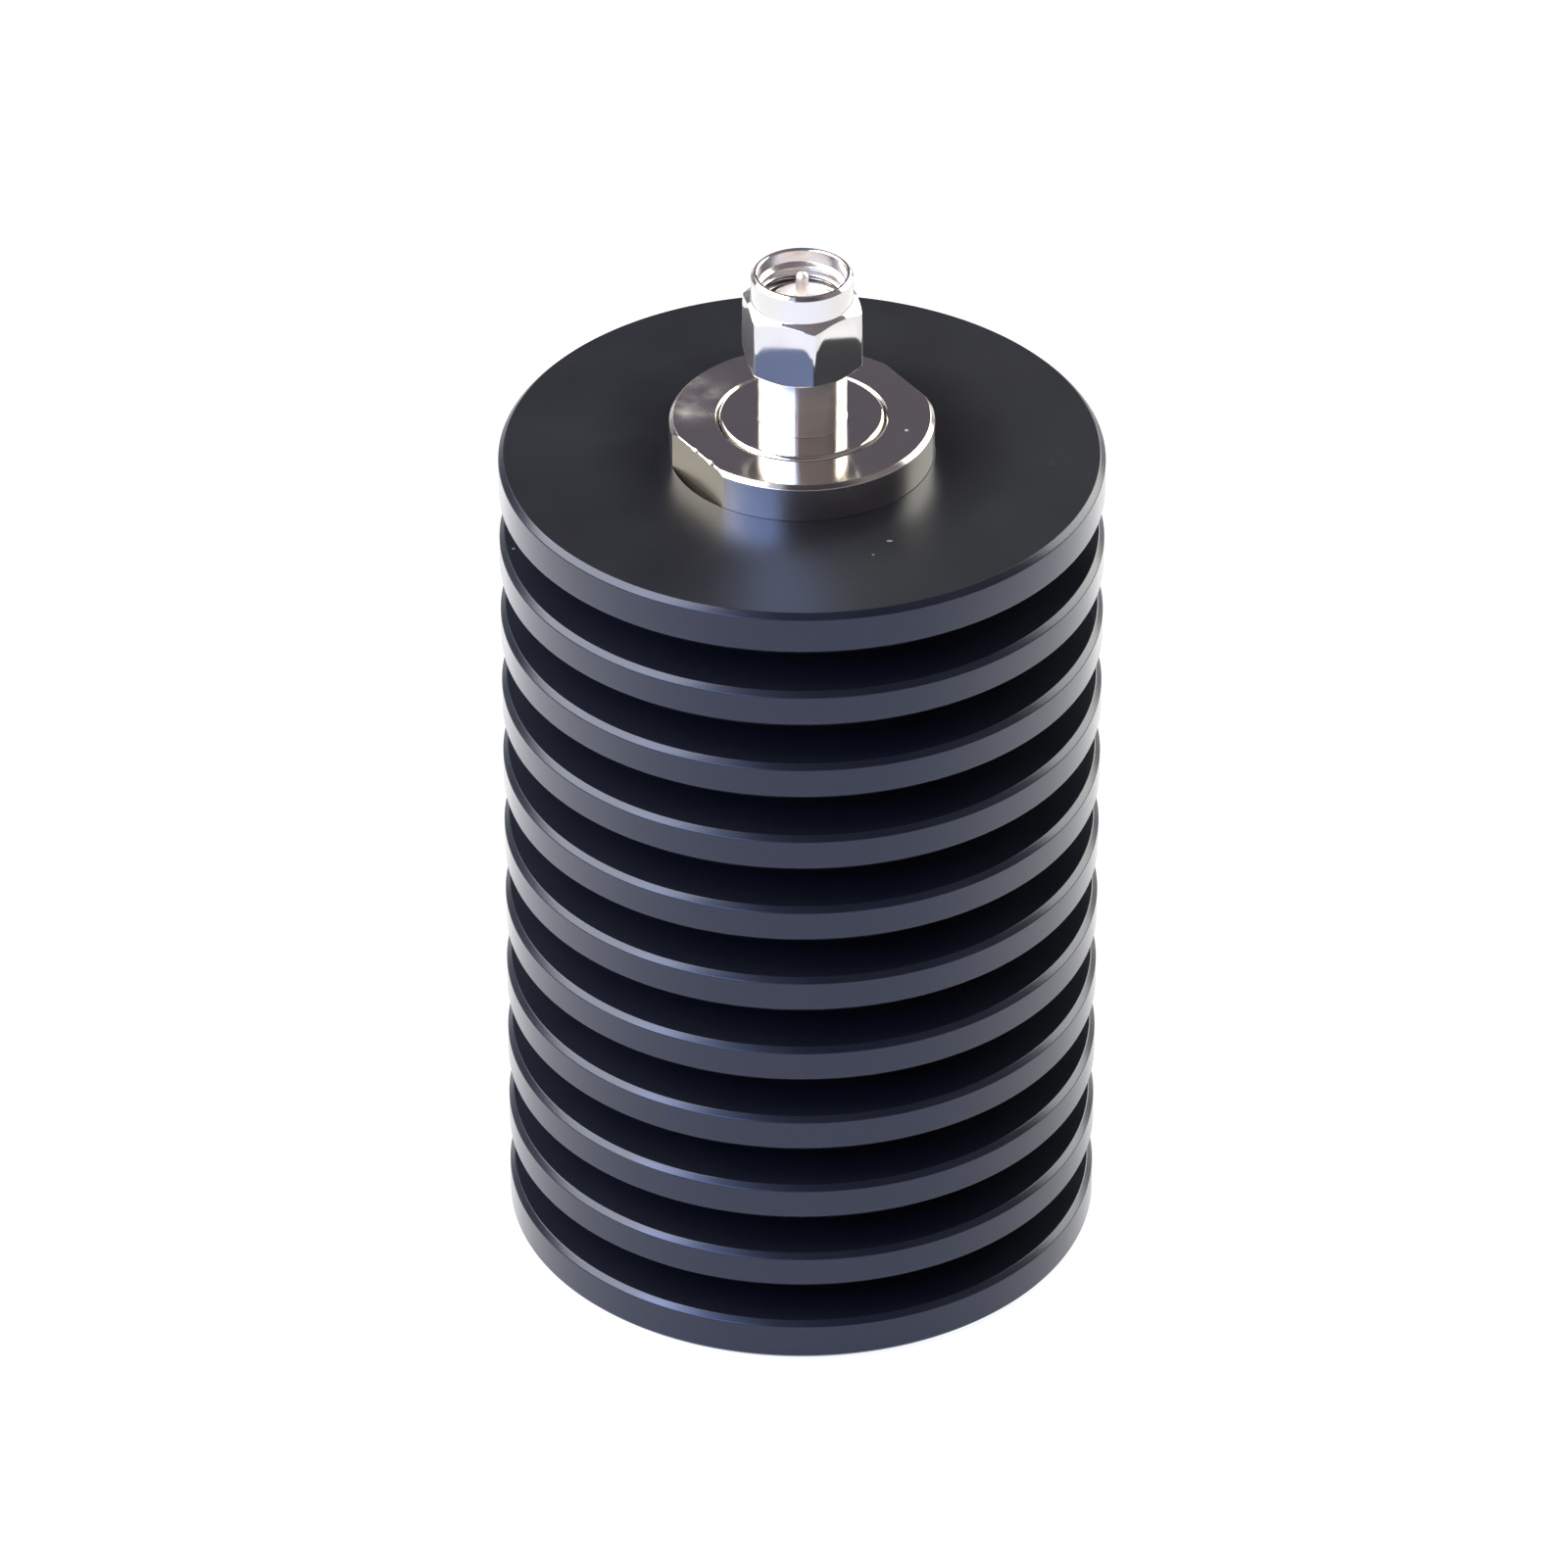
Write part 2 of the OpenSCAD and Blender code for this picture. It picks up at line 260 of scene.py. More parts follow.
def dulled_or_shaded(material, mask, colour, roughness):
    """Lays a duller finish, or a painted shade, over a material wherever the mask is one."""
    tree = material.node_tree
    shader = tree.nodes["Principled BSDF"]
    under_colour = shader.inputs["Base Color"].links[0].from_socket
    under_gloss = shader.inputs["Roughness"].links[0].from_socket
    tone = add(
        tree, "Mix",
        {FACTOR: mask, A_COLOUR: under_colour, B_COLOUR: linear(colour)},
        data_type="RGBA",
    )
    gloss = add(tree, "Mix", {FACTOR: mask, A_NUMBER: under_gloss, B_NUMBER: roughness})
    tree.links.new(tone.outputs[MIXED], shader.inputs["Base Color"])
    tree.links.new(gloss.outputs[0], shader.inputs["Roughness"])


# %% [markdown]
# ## Black anodised aluminium
# The heat sink is turned from bar, blasted to a fine satin and anodised: the acid bath grows a
# clear oxide layer, which is dyed black and sealed. So it isn't a bare metal to the eye. It is a
# dark, slightly blue stain under a hard transparent skin, and at a flat angle it turns pale.
#
# A metal shader with a black colour would lose that pale rim. A dark dielectric keeps it, because its mirror
# grows towards a flat angle by itself. The top is given a deeper black than the walls, and it is duller
# towards the rim, where no hand has polished it.

# %% Dust on the heat sink
lint_y, lint_ends = -12.17, (6.18, 6.36)            # a short thread of lint on the top
speck_mm = 2.6                                      # between two specks that may show


def dust_and_lint(tree, place):
    """A mask of rare pale specks in the cells of a Voronoi pattern, and one thread of lint."""
    speck = add(tree, "TexVoronoi", {"Vector": place, "Scale": per_metre(speck_mm), "Randomness": 1.0})
    small = add(
        tree, "MapRange",
        {
            "Value": speck.outputs["Distance"], "From Min": 0.035, "From Max": 0.06,
            "To Min": 1.0, "To Max": 0.0,
        },
    )
    chance = add(tree, "SeparateColor", {"Color": speck.outputs["Color"]})
    rare = add(tree, "Math", {0: chance.outputs["Red"], 1: 0.95}, operation="GREATER_THAN")
    dust = add(tree, "Math", {0: small.outputs["Result"], 1: rare.outputs[0]}, operation="MULTIPLY")
    faint = add(tree, "Math", {0: dust.outputs[0], 1: 0.35}, operation="MULTIPLY")
    ends = [near(tree, place, (x, lint_y, sink_top), 0.05, 0.17) for x in lint_ends]
    lint = add(tree, "Math", {0: ends[0], 1: ends[1]}, operation="MAXIMUM")
    pale = add(tree, "Math", {0: lint.outputs[0], 1: 0.45, 2: faint.outputs[0]}, operation="MULTIPLY_ADD")
    return pale.outputs[0]


print(f"lint of {lint_ends[1] - lint_ends[0]:.2f} mm between its two ends")


# %% Material: black anodised aluminium
def black_anodised_aluminium():
    """A dyed oxide skin: dark, satin, pale at a flat angle, with a few specks of dust."""
    material, tree, shader, place = start_material("black anodised aluminium")
    cloud_mm, grain_mm, grain_deep = 7.0, 0.35, 0.02   # the blasted grain is finer; this one shows
    dull_from, dull_to = 11.0, 16.0                 # on the top, from the axis
    dull_inner, dull_outer = 0.1, 0.22              # roughness that is added there
    cloud = add(tree, "TexNoise", {"Vector": place, "Scale": per_metre(cloud_mm), "Detail": 4.0})
    grain = add(tree, "TexNoise", {"Vector": place, "Scale": per_metre(grain_mm), "Detail": 3.0})
    stain = add(
        tree, "Mix",
        {FACTOR: cloud.outputs["Fac"], A_COLOUR: linear("#12141b"), B_COLOUR: linear("#171920")},
        data_type="RGBA",
    )
    height = add(tree, "SeparateXYZ", {"Vector": place}).outputs["Z"]
    level_top = add(tree, "Math", {0: height, 1: (sink_top - 0.01) * MM}, operation="GREATER_THAN")
    dyed = add(
        tree, "Mix",
        {FACTOR: level_top.outputs[0], A_COLOUR: stain.outputs[MIXED], B_COLOUR: linear("#060709")},
        data_type="RGBA",
    )
    pale = dust_and_lint(tree, place)
    dusty = add(
        tree, "Mix",
        {FACTOR: pale, A_COLOUR: dyed.outputs[MIXED], B_COLOUR: linear("#8f9096")},
        data_type="RGBA",
    )
    satin = add(
        tree, "MapRange",
        {"Value": cloud.outputs["Fac"], "From Min": 0.3, "From Max": 0.7, "To Min": 0.2, "To Max": 0.26},
    )
    level = add(tree, "VectorMath", {0: place, 1: (1, 1, 0)}, operation="MULTIPLY")
    radius = add(tree, "VectorMath", {0: level.outputs["Vector"]}, operation="LENGTH")
    outward = add(
        tree, "MapRange",
        {
            "Value": radius.outputs["Value"], "From Min": dull_from * MM, "From Max": dull_to * MM,
            "To Min": dull_inner, "To Max": dull_outer,
        },
    )
    matt = add(tree, "Math", {0: level_top.outputs[0], 1: outward.outputs["Result"]}, operation="MULTIPLY")
    roughness = add(tree, "Math", {0: satin.outputs["Result"], 1: matt.outputs[0]}, operation="ADD")
    mirror = add(
        tree, "MapRange",
        {
            "Value": matt.outputs[0], "From Min": dull_inner, "From Max": dull_outer,
            "To Min": 0.5, "To Max": 0.46,
        },
    )
    bump = add(
        tree, "Bump",
        {"Height": grain.outputs["Fac"], "Strength": 0.12, "Distance": grain_deep * MM},
    )
    tree.links.new(dusty.outputs[MIXED], shader.inputs["Base Color"])
    tree.links.new(roughness.outputs[0], shader.inputs["Roughness"])
    tree.links.new(mirror.outputs["Result"], shader.inputs["Specular IOR Level"])
    tree.links.new(bump.outputs["Normal"], shader.inputs["Normal"])
    shader.inputs["IOR"].default_value = 1.5
    shader.inputs["Specular Tint"].default_value = linear("#d6dffc")
    return material


anodised = black_anodised_aluminium()
print(f"{anodised.name}: {len(anodised.node_tree.nodes)} nodes")

# %% [markdown]
# ## Polished nickel
# The clamp ring and the plug are turned brass with a bright nickel plating. Nickel is a warm
# white metal that mirrors about two thirds of the light. The lathe's feed leaves fine rings under
# the plating, and handling leaves faint cloudy smudges, so the mirror isn't perfect.
#
# The rings follow the turning tool. Its path has one simple coordinate: the distance from the
# axis plus the height changes across every turned face and every turned wall. The flats aren't
# turned. So beyond a given radius the distance stops counting, or the rings would run across them.
# On a turned wall the rings are too fine to be seen one by one, and they smear the mirror upwards
# and downwards, which is what the Principled shader's Anisotropic socket is for.

# %% Material: polished nickel
def polished_nickel(name, colour, smudge_colour, roughness, smudge_roughness, turned_r, brushed=0.0):
    """A bright nickel plating over turned brass, with feed rings and cloudy smudges.

    Returns the material with three sockets for masks: the place, the distance from the axis and
    the smudges' noise.
    """
    material, tree, shader, place = start_material(name)
    ring_mm, ring_deep, smudge_mm = 0.4, 0.002, 4.0   # real feed rings are finer; these show
    smear = 0.1                                       # roughness that the rings add to a wall
    axis = add(tree, "SeparateXYZ", {"Vector": place})
    flat = add(tree, "CombineXYZ", {"X": axis.outputs["X"], "Y": axis.outputs["Y"]})
    radius = add(tree, "VectorMath", {0: flat.outputs["Vector"]}, operation="LENGTH")
    turned_part = add(tree, "Math", {0: radius.outputs["Value"], 1: turned_r * MM}, operation="MINIMUM")
    feed = add(tree, "Math", {0: turned_part.outputs[0], 1: axis.outputs["Z"]}, operation="ADD")
    rings = add(
        tree, "TexNoise",
        {"W": feed.outputs[0], "Scale": per_metre(ring_mm), "Detail": 4.0},
        noise_dimensions="1D",
    )
    smudge = add(
        tree, "TexNoise",
        {"Vector": place, "Scale": per_metre(smudge_mm), "Detail": 5.0, "Roughness": 0.6},
    )
    cloudy = add(
        tree, "MapRange",
        {"Value": smudge.outputs["Fac"], "From Min": 0.52, "From Max": 0.75},
    )
    tone = add(
        tree, "Mix",
        {FACTOR: cloudy.outputs["Result"], A_COLOUR: linear(colour), B_COLOUR: linear(smudge_colour)},
        data_type="RGBA",
    )
    gloss = add(
        tree, "MapRange",
        {"Value": cloudy.outputs["Result"], "To Min": roughness, "To Max": smudge_roughness},
    )
    facing = add(tree, "SeparateXYZ", {"Vector": add(tree, "TexCoord").outputs["Normal"]})
    steep = add(tree, "Math", {0: facing.outputs["Z"]}, operation="ABSOLUTE")
    wall = add(
        tree, "MapRange",
        {"Value": steep.outputs[0], "From Min": 0.1, "From Max": 0.5, "To Min": 1.0, "To Max": 0.0},
    )
    as_turned = add(tree, "MapRange", {"Value": wall.outputs["Result"], "To Min": 0.0, "To Max": brushed})
    blur = add(
        tree, "Math",
        {0: as_turned.outputs["Result"], 1: smear, 2: gloss.outputs["Result"]},
        operation="MULTIPLY_ADD",
    )
    bump = add(
        tree, "Bump",
        {"Height": rings.outputs["Fac"], "Strength": 0.2, "Distance": ring_deep * MM},
    )
    tree.links.new(tone.outputs[MIXED], shader.inputs["Base Color"])
    tree.links.new(blur.outputs[0], shader.inputs["Roughness"])
    tree.links.new(bump.outputs["Normal"], shader.inputs["Normal"])
    shader.inputs["Metallic"].default_value = 1.0
    round_about = add(tree, "Tangent", direction_type="RADIAL", axis="Z")
    tree.links.new(round_about.outputs["Tangent"], shader.inputs["Tangent"])
    tree.links.new(as_turned.outputs["Result"], shader.inputs["Anisotropic"])
    shader.inputs["Anisotropic Rotation"].default_value = 0.25   # the blur runs across the feed rings
    return material, place, radius.outputs["Value"], smudge.outputs["Fac"]


ring_r, flat_r, flat_angle = 9.6, 9.0, np.radians(213.5)   # of the ring, whose flats are milled
nickel = polished_nickel("polished nickel on brass", "#d2cdc8", "#cbc8c5", 0.08, 0.14, flat_r, 0.9)[0]
print(f"{nickel.name}: {len(nickel.node_tree.nodes)} nodes")

# %% [markdown]
# ## The quieter materials
# The plug's insulator is PTFE, a waxy white plastic that lets a little light in. The pin is plated
# with white bronze and the gasket is silicone rubber. The pieces inside are copper, bronze and two
# ceramics: nobody sees them in the picture, but they show when the part is taken apart.
#
# They are all even solids, so one function makes them: a fine noise mixes two close colours and
# moves the gloss and the relief a little. Plain colours would look like a drawing.

# %% Material: grained solids
def grained(name, colour, other_colour, grain_mm, roughness, spread, metallic=0.0, bump_mm=0.01):
    """A solid with an even grain: two close colours, a varying gloss and a slight relief."""
    material, tree, shader, place = start_material(name)
    grain = add(
        tree, "TexNoise",
        {"Vector": place, "Scale": per_metre(grain_mm), "Detail": 5.0, "Roughness": 0.6},
    )
    tone = add(
        tree, "Mix",
        {FACTOR: grain.outputs["Fac"], A_COLOUR: linear(colour), B_COLOUR: linear(other_colour)},
        data_type="RGBA",
    )
    gloss = add(
        tree, "MapRange",
        {"Value": grain.outputs["Fac"], "To Min": roughness - spread, "To Max": roughness + spread},
    )
    bump = add(
        tree, "Bump",
        {"Height": grain.outputs["Fac"], "Strength": 0.3, "Distance": bump_mm * MM},
    )
    tree.links.new(tone.outputs[MIXED], shader.inputs["Base Color"])
    tree.links.new(gloss.outputs["Result"], shader.inputs["Roughness"])
    tree.links.new(bump.outputs["Normal"], shader.inputs["Normal"])
    shader.inputs["Metallic"].default_value = metallic
    return material


# %% Make the quieter materials
# Turned PTFE is a satin, slightly waxy white
ptfe = grained("turned PTFE", "#dfdbdb", "#d8d4d4", 0.5, 0.42, 0.08)
waxy = ptfe.node_tree.nodes["Principled BSDF"].inputs
waxy["Subsurface Weight"].default_value = 0.2
waxy["Subsurface Radius"].default_value = (0.4 * MM,) * 3
# Plated white bronze is a pale silver that blurs what it mirrors
plated = grained("white bronze plating", "#f8f5f1", "#f0ece6", 0.6, 0.42, 0.05, 1.0, 0.002)
# Moulded silicone is matt and brick red
silicone = grained("silicone rubber", "#a4412c", "#8f3524", 0.3, 0.55, 0.1)
# Rolled spring bronze has a satin, yellowish brown sheen
bronze = grained("spring bronze", "#b9935a", "#a37b42", 0.4, 0.3, 0.08, 1.0)
# Milled copper is a warm, pinkish satin
copper = grained("milled copper", "#c98a63", "#b87449", 0.5, 0.28, 0.08, 1.0)
# Sintered alumina is chalky, and a glaze gives the cover a soft shine
chip_white = grained("alumina ceramic", "#ece8dd", "#dcd6c8", 0.15, 0.5, 0.1)
cover_white = grained("glazed cover ceramic", "#f0eee6", "#e2ded3", 0.3, 0.3, 0.08)
print("materials so far:", sorted(m.name for m in bpy.data.materials))

# %% [markdown]
# ## Traces of use and painted shade
# A new part has none, and it looks like a drawing. This one has been held, so the ring carries the cloudy
# mark of a hand and one bright fleck, and its milled flats are satin. The part of the ring below the heat
# sink's top is painted dark, as painted shade from the hole it sits in. The nut has a film from many
# fingers, which the Coat sockets give, and a duller thread.

# %% Materials: the ring's and the nut's nickel
sleeve_r, thread_r = 3.7, 3.175
hand_at, finger_at, fleck_at = (-7.9, 0.6, ring_top), (-7.2, 3.6, ring_top), (7.53, -1.93, ring_top)


def handled_ring_nickel_with_shade():
    """The clamp ring's nickel with the marks of a hand, a fleck, satin flats and painted shade below the
    heat sink's top.
    """
    metal, place, _, smudge = polished_nickel(
        "polished nickel on the ring", "#d2cdc8", "#d0cdcb", 0.12, 0.18, flat_r - 0.02, 0.7
    )
    tree = metal.node_tree
    thumb = near(tree, place, hand_at, 0.2, 3.3)
    finger = near(tree, place, finger_at, 0.2, 3.4)
    hand = add(tree, "Math", {0: thumb, 1: finger}, operation="MAXIMUM")
    streaks = add(
        tree, "MapRange",
        {"Value": smudge, "From Min": 0.35, "From Max": 0.65, "To Min": 0.2, "To Max": 1.0},
    )
    cloudy = add(tree, "Math", {0: hand.outputs[0], 1: streaks.outputs["Result"]}, operation="MULTIPLY")
    height = add(tree, "SeparateXYZ", {"Vector": place}).outputs["Z"]
    # Painted shade: the ring is painted dark below the heat sink's top, where the hole round it shades it
    painted_recess_shade = add(tree, "Math", {0: height, 1: (sink_top - 0.03) * MM}, operation="LESS_THAN")
    dulled_or_shaded(metal, cloudy.outputs[0], "#e0deda", 0.46)
    dulled_or_shaded(metal, near(tree, place, fleck_at, 0.1, 0.2), "#e9e8e6", 0.5)
    dulled_or_shaded(metal, past_flat(tree, place, flat_angle, flat_r - 0.015), "#d3ccba", 0.3)
    dulled_or_shaded(metal, painted_recess_shade.outputs[0], "#4a443c", 0.5)
    return metal


def hazy_nut_nickel():
    """The nut's bright nickel under a thin film, with a duller bore."""
    metal, place, radius, _ = polished_nickel(
        "bright nickel on the nut", "#cfcdcc", "#cac8c6", 0.05, 0.1, sleeve_r - 0.01
    )
    tree = metal.node_tree
    bore = add(tree, "Math", {0: radius, 1: (thread_r + 0.01) * MM}, operation="LESS_THAN")
    dulled_or_shaded(metal, bore.outputs[0], "#d3cdca", 0.24)
    film = tree.nodes["Principled BSDF"].inputs
    film["Coat Weight"].default_value = 1.0
    film["Coat Roughness"].default_value = 0.5
    return metal


ring_nickel = handled_ring_nickel_with_shade()
nut_nickel = hazy_nut_nickel()
print(f"{ring_nickel.name}, {nut_nickel.name}")

# %% [markdown]
# ## The heat sink
# One bar of aluminium, with ten square grooves turned into it, which leaves eleven round fins.
# The two end fins are a little thicker. Every fin has a small chamfer on both edges, and each
# groove has round inner corners from the tool's nose.
#
# Eleven discs on a rod would be quick, but the real one is a single piece, so one profile runs
# up the whole outside, through every groove, and down the stepped hole in the top.

# %% Heat sink
core_r, fin_gap, fin_pitch, end_fin = 13.0, 3.2, 6.2, 3.4
fin_chamfer, groove_round, edge_round = 0.4, 0.6, 0.06
groove_count = round((sink_top - 2 * end_fin + fin_pitch - fin_gap) / fin_pitch)
recess_r, recess_z = 9.61, sink_top - 1.0         # tight, so that no dark line shows round the ring
bore_r, seat_z = 8.05, extent("resistor_carrier")[1]
carrier_top = extent("rear_insulator")[1]
pocket_r, floor_gap, drill_angle = 6.05, 1.0, np.radians(31)


def heat_sink_profile():
    """Corners of the section and how far each is rounded: base, grooves, top and stepped hole."""
    groove = np.array([
        [fin_r, -fin_chamfer], [fin_r - fin_chamfer, 0], [core_r, 0],
        [core_r, fin_gap], [fin_r - fin_chamfer, fin_gap], [fin_r, fin_gap + fin_chamfer],
    ])
    floor = end_fin + fin_pitch * np.arange(groove_count)
    lift = np.stack([np.zeros(groove_count), floor], axis=-1)
    grooves = (groove[None] + lift[:, None]).reshape(-1, 2)
    one_groove = [edge_round, edge_round, groove_round, groove_round, edge_round, edge_round]
    groove_cut = np.tile(one_groove, groove_count)
    pocket_z = seat_z - floor_gap
    base = [[0, 0], [fin_r - fin_chamfer, 0], [fin_r, fin_chamfer]]
    top = [[fin_r, sink_top - fin_chamfer], [fin_r - fin_chamfer, sink_top]]
    hole = [
        [recess_r, sink_top], [recess_r, recess_z], [bore_r, recess_z], [bore_r, carrier_top],
        [pocket_r, carrier_top], [pocket_r, pocket_z], [0, pocket_z - pocket_r * np.tan(drill_angle)],
    ]
    corners = np.concatenate([base, grooves, top, hole])
    plain = np.full(len(top) + len(hole) - 1, edge_round)
    cut = np.concatenate([[0, edge_round, edge_round], groove_cut, plain, [0]])
    return corners[:, None], cut[:, None, None]


sink_mesh = skin("finned_heat_sink", soften(*heat_sink_profile()), turns(256), closed=False)
finished_piece(sink_mesh, anodised, "load", "black_anodised_aluminium", "heat_sink")

# %% [markdown]
# ## The clamp ring
# A gland ring screws into the top and holds the plug down. Its flange is round, with two flats
# for a spanner. A flat is a place where the radius follows 9 mm divided by the cosine of the angle
# from the flat's middle, so the flange needs no boolean cut: at each angle the smaller of the two
# radii wins. The spanner has left a few nicks along the edge of the front flat.

# %% Clamp ring
ring_chamfer, flat_break, ring_edge = 0.3, 0.07, 0.03
shank_r, shank_root, undercut_w = 8.0, 7.4, 1.0
hub_r, hub_gap, hub_chamfer = 6.0, 0.05, 0.2
flange_gap = 0.1
flange_z = recess_z + flange_gap
nick_at = np.array([-0.4, 0.5, 1.6, 2.5])       # along the front flat
nick_deep = np.array([0.1, 0.03, 0.13, 0.05])
nick_half = np.array([0.3, 0.2, 0.35, 0.2])


def flange_radius(angles):
    """The round flange, cut by two flats: the smaller of ring_r and flat_r / |cos(angle)|."""
    across = np.abs(np.cos(angles - flat_angle))
    return np.minimum(ring_r, flat_r / np.maximum(across, 0.5))


def nicks(angles):
    """Depth of the spanner's nicks: a sum of bell curves along the front flat."""
    along = flat_r * np.tan(angles - flat_angle)
    on_front = np.cos(angles - flat_angle) > flat_r / ring_r
    bells = nick_deep * np.exp(-((along[:, None] - nick_at) / nick_half) ** 2)
    return np.where(on_front, bells.sum(axis=-1), 0)


def clamp_ring_profile(angles):
    """Corners of the ring's section at every angle, up the outside and down the bore."""
    rim = flange_radius(angles)
    edge = np.minimum(ring_r - ring_chamfer, rim - flat_break - nicks(angles))
    bore = hub_r + hub_gap
    even = np.ones_like(angles)
    radii = [
        bore * even, shank_root * even, shank_r * even, shank_r * even, shank_root * even,
        shank_root * even, rim, rim, edge, (bore + hub_chamfer) * even, bore * even,
    ]
    thread_slope = shank_r - shank_root
    heights = [
        ring_low * even, ring_low * even, (ring_low + thread_slope) * even,
        (flange_z - undercut_w - thread_slope) * even, (flange_z - undercut_w) * even, flange_z * even,
        flange_z * even, ring_top - (rim - edge), ring_top * even, ring_top * even,
        (ring_top - hub_chamfer) * even,
    ]
    return np.stack([radii, heights], axis=-1)


ring_angles = turns(1440)
ring_mesh = skin("flanged_clamp_ring", soften(clamp_ring_profile(ring_angles), ring_edge), ring_angles)
finished_piece(ring_mesh, ring_nickel, "load", "nickel_plated_brass", "clamp_ring")

# %% [markdown]
# ## The plug's shell
# The shell is one turned brass piece: a collar that the ring presses down, the hub that fills the
# ring, the stem, the neck with a groove for the nut's spring ring, and the nose that enters the
# socket. It is a plain profile, so it needs no angle.

# %% Plug shell
nut_clear, hub_proud, land_step, nose_chamfer = 0.1, 0.15, 0.25, 0.1
collar_r, collar_t, stem_r, stem_top = 7.35, 2.0, 3.25, nut_base - nut_clear
neck_r, groove_r, nose_r, insulator_r = 2.85, 2.5, 2.29, 2.05
land_r, hub_top = nose_r + land_step, ring_top + hub_proud
groove_low, groove_high = nut_base + 0.7, nut_base + 1.3
stem_fillet, stem_edge, hub_round, shell_edge = 0.06, 0.2, 0.13, 0.03
collar = [
    [insulator_r, shell_low], [collar_r, shell_low], [collar_r, shell_low + collar_t],
    [hub_r, shell_low + collar_t],
]
hub_rim = [[hub_r, hub_top - hub_chamfer], [hub_r - hub_chamfer, hub_top]]
stem_foot = [[stem_r, hub_top]]
plug_end = [
    [stem_r, stem_top - stem_edge], [stem_r - stem_edge, stem_top], [neck_r, stem_top],
    [neck_r, groove_low], [groove_r, groove_low], [groove_r, groove_high], [neck_r, groove_high],
    [neck_r, gasket_low], [land_r, gasket_low], [land_r, gasket_top], [nose_r, gasket_top],
    [nose_r, nose_face - nose_chamfer], [nose_r - nose_chamfer, nose_face], [insulator_r, nose_face],
]
shell_corners = np.array(collar + hub_rim + stem_foot + plug_end)
shell_cut = np.concatenate([
    np.full(len(collar), shell_edge), np.full(len(hub_rim), hub_round), [stem_fillet],
    np.full(len(plug_end), shell_edge),
])
shell_profile = soften(shell_corners[:, None], shell_cut[:, None, None], 6)
shell_mesh = skin("turned_plug_shell", shell_profile, turns(256))
finished_piece(shell_mesh, nickel, "load", "nickel_plated_brass", "connector_shell")

# %% [markdown]
# ## The coupling nut
# The nut turns freely on the neck. Below is an 8 mm hexagon whose ends are turned back to a cone,
# which leaves the curved edges that every hexagonal nut has. Above is a plain sleeve, and inside
# runs a thread with 36 turns to the inch.
#
# The hexagon's radius at an angle is the flat's distance over the cosine of the angle from the
# flat's middle, and near a corner a small arc takes over. Use has worn the corners, more so at the
# top. The cone then comes by itself: at each angle the wall stops where the cone has that radius.
# The thread is a ridge whose phase moves up by one pitch in a turn.

# %% Sizes of the nut
hex_r, corner_angle, land_cut = 4.0, np.radians(281.4), 0.07
corner_round, corner_wear, wear_half = 0.25, 0.08, np.radians(5)
hex_top, cone_slope = nut_base + 5.2, np.tan(np.radians(32))
rim_chamfer, mouth_chamfer = 0.25, 0.1
lip_r, lip_top = 2.93, nut_base + 0.6
thread_pitch, thread_deep = 25.4 / 36, 0.375
thread_start, thread_end = nut_top - 0.95, gasket_top + 0.2
crest_half, flank = 0.125, 0.3125                 # of the ridge, in pitches
fade_in, fade_out = 0.3, 0.4                      # where the thread begins and ends
nut_edge, foot_edge = 0.05, 0.12
SIXTH = np.pi / 3
print(f"hexagon {2 * hex_r:.1f} mm across flats, thread pitch {thread_pitch:.3f} mm")


# %% Hexagon of the nut
def nut_angles(columns=64):
    """Angles of six equal sixths, each closer together near its corner."""
    t = np.linspace(-1, 1, columns, endpoint=False)
    sixth = SIXTH / 2 * np.sign(t) * np.abs(t) ** 1.6
    return (corner_angle + sixth[None] + SIXTH * np.arange(6)[:, None]).reshape(-1)


def from_corner(angles):
    """The angle from the nearest corner of the hexagon, between minus and plus a twelfth of a turn."""
    return (angles - corner_angle + SIXTH / 2) % SIXTH - SIXTH / 2


def hexagon_radius(angles, up):
    """Flats at hex_r, an arc of corner_round at each corner, and wear that grows with the height.

    The wear is corner_wear times up squared times a bell curve of the angle from the corner. Up
    runs from 0 at the bottom to 1 at the top.
    """
    off = from_corner(angles)
    flat = hex_r / np.cos(SIXTH / 2 - np.abs(off))
    centre = (hex_r - corner_round) / np.cos(SIXTH / 2)
    inside = np.maximum(corner_round ** 2 - (centre * np.sin(off)) ** 2, 0)
    arc = centre * np.cos(off) + np.sqrt(inside)
    touch = np.arctan2(corner_round * np.sin(SIXTH / 2), centre + corner_round * np.cos(SIXTH / 2))
    wear = corner_wear * up ** 2 * np.exp(-(off / wear_half) ** 2)
    return np.where(np.abs(off) < touch, arc, flat) - wear


angles_of_nut = nut_angles()
widest = hexagon_radius(angles_of_nut, 0).max()
print(f"{len(angles_of_nut)} angles, {2 * widest:.2f} mm across the corners")


# %% Thread of the nut
def thread_rows(angles, rows_per_pitch=22):
    """The bore from the mouth down: a plain part, then the thread.

    The ridge stands in by its depth where its phase, height / pitch - angle / a full turn, is near
    one half: a flat crest of a quarter pitch and slopes on both sides. It fades in and out.
    """
    top = nut_top - 2 * mouth_chamfer
    rows = int((top - thread_end) / thread_pitch * rows_per_pitch)
    height = np.linspace(top, thread_end, rows)[:, None]
    phase = (height / thread_pitch - angles / (2 * np.pi)) % 1
    ridge = np.clip((crest_half + flank - np.abs(phase - 0.5)) / flank, 0, 1)
    begins = np.clip((thread_start - height) / fade_in, 0, 1)
    ends = np.clip((height - thread_end) / fade_out, 0, 1)
    radius = thread_r - thread_deep * ridge * begins * ends
    return np.stack([radius, np.broadcast_to(height, radius.shape)], axis=-1)


print(f"thread: {len(thread_rows(angles_of_nut))} rows")


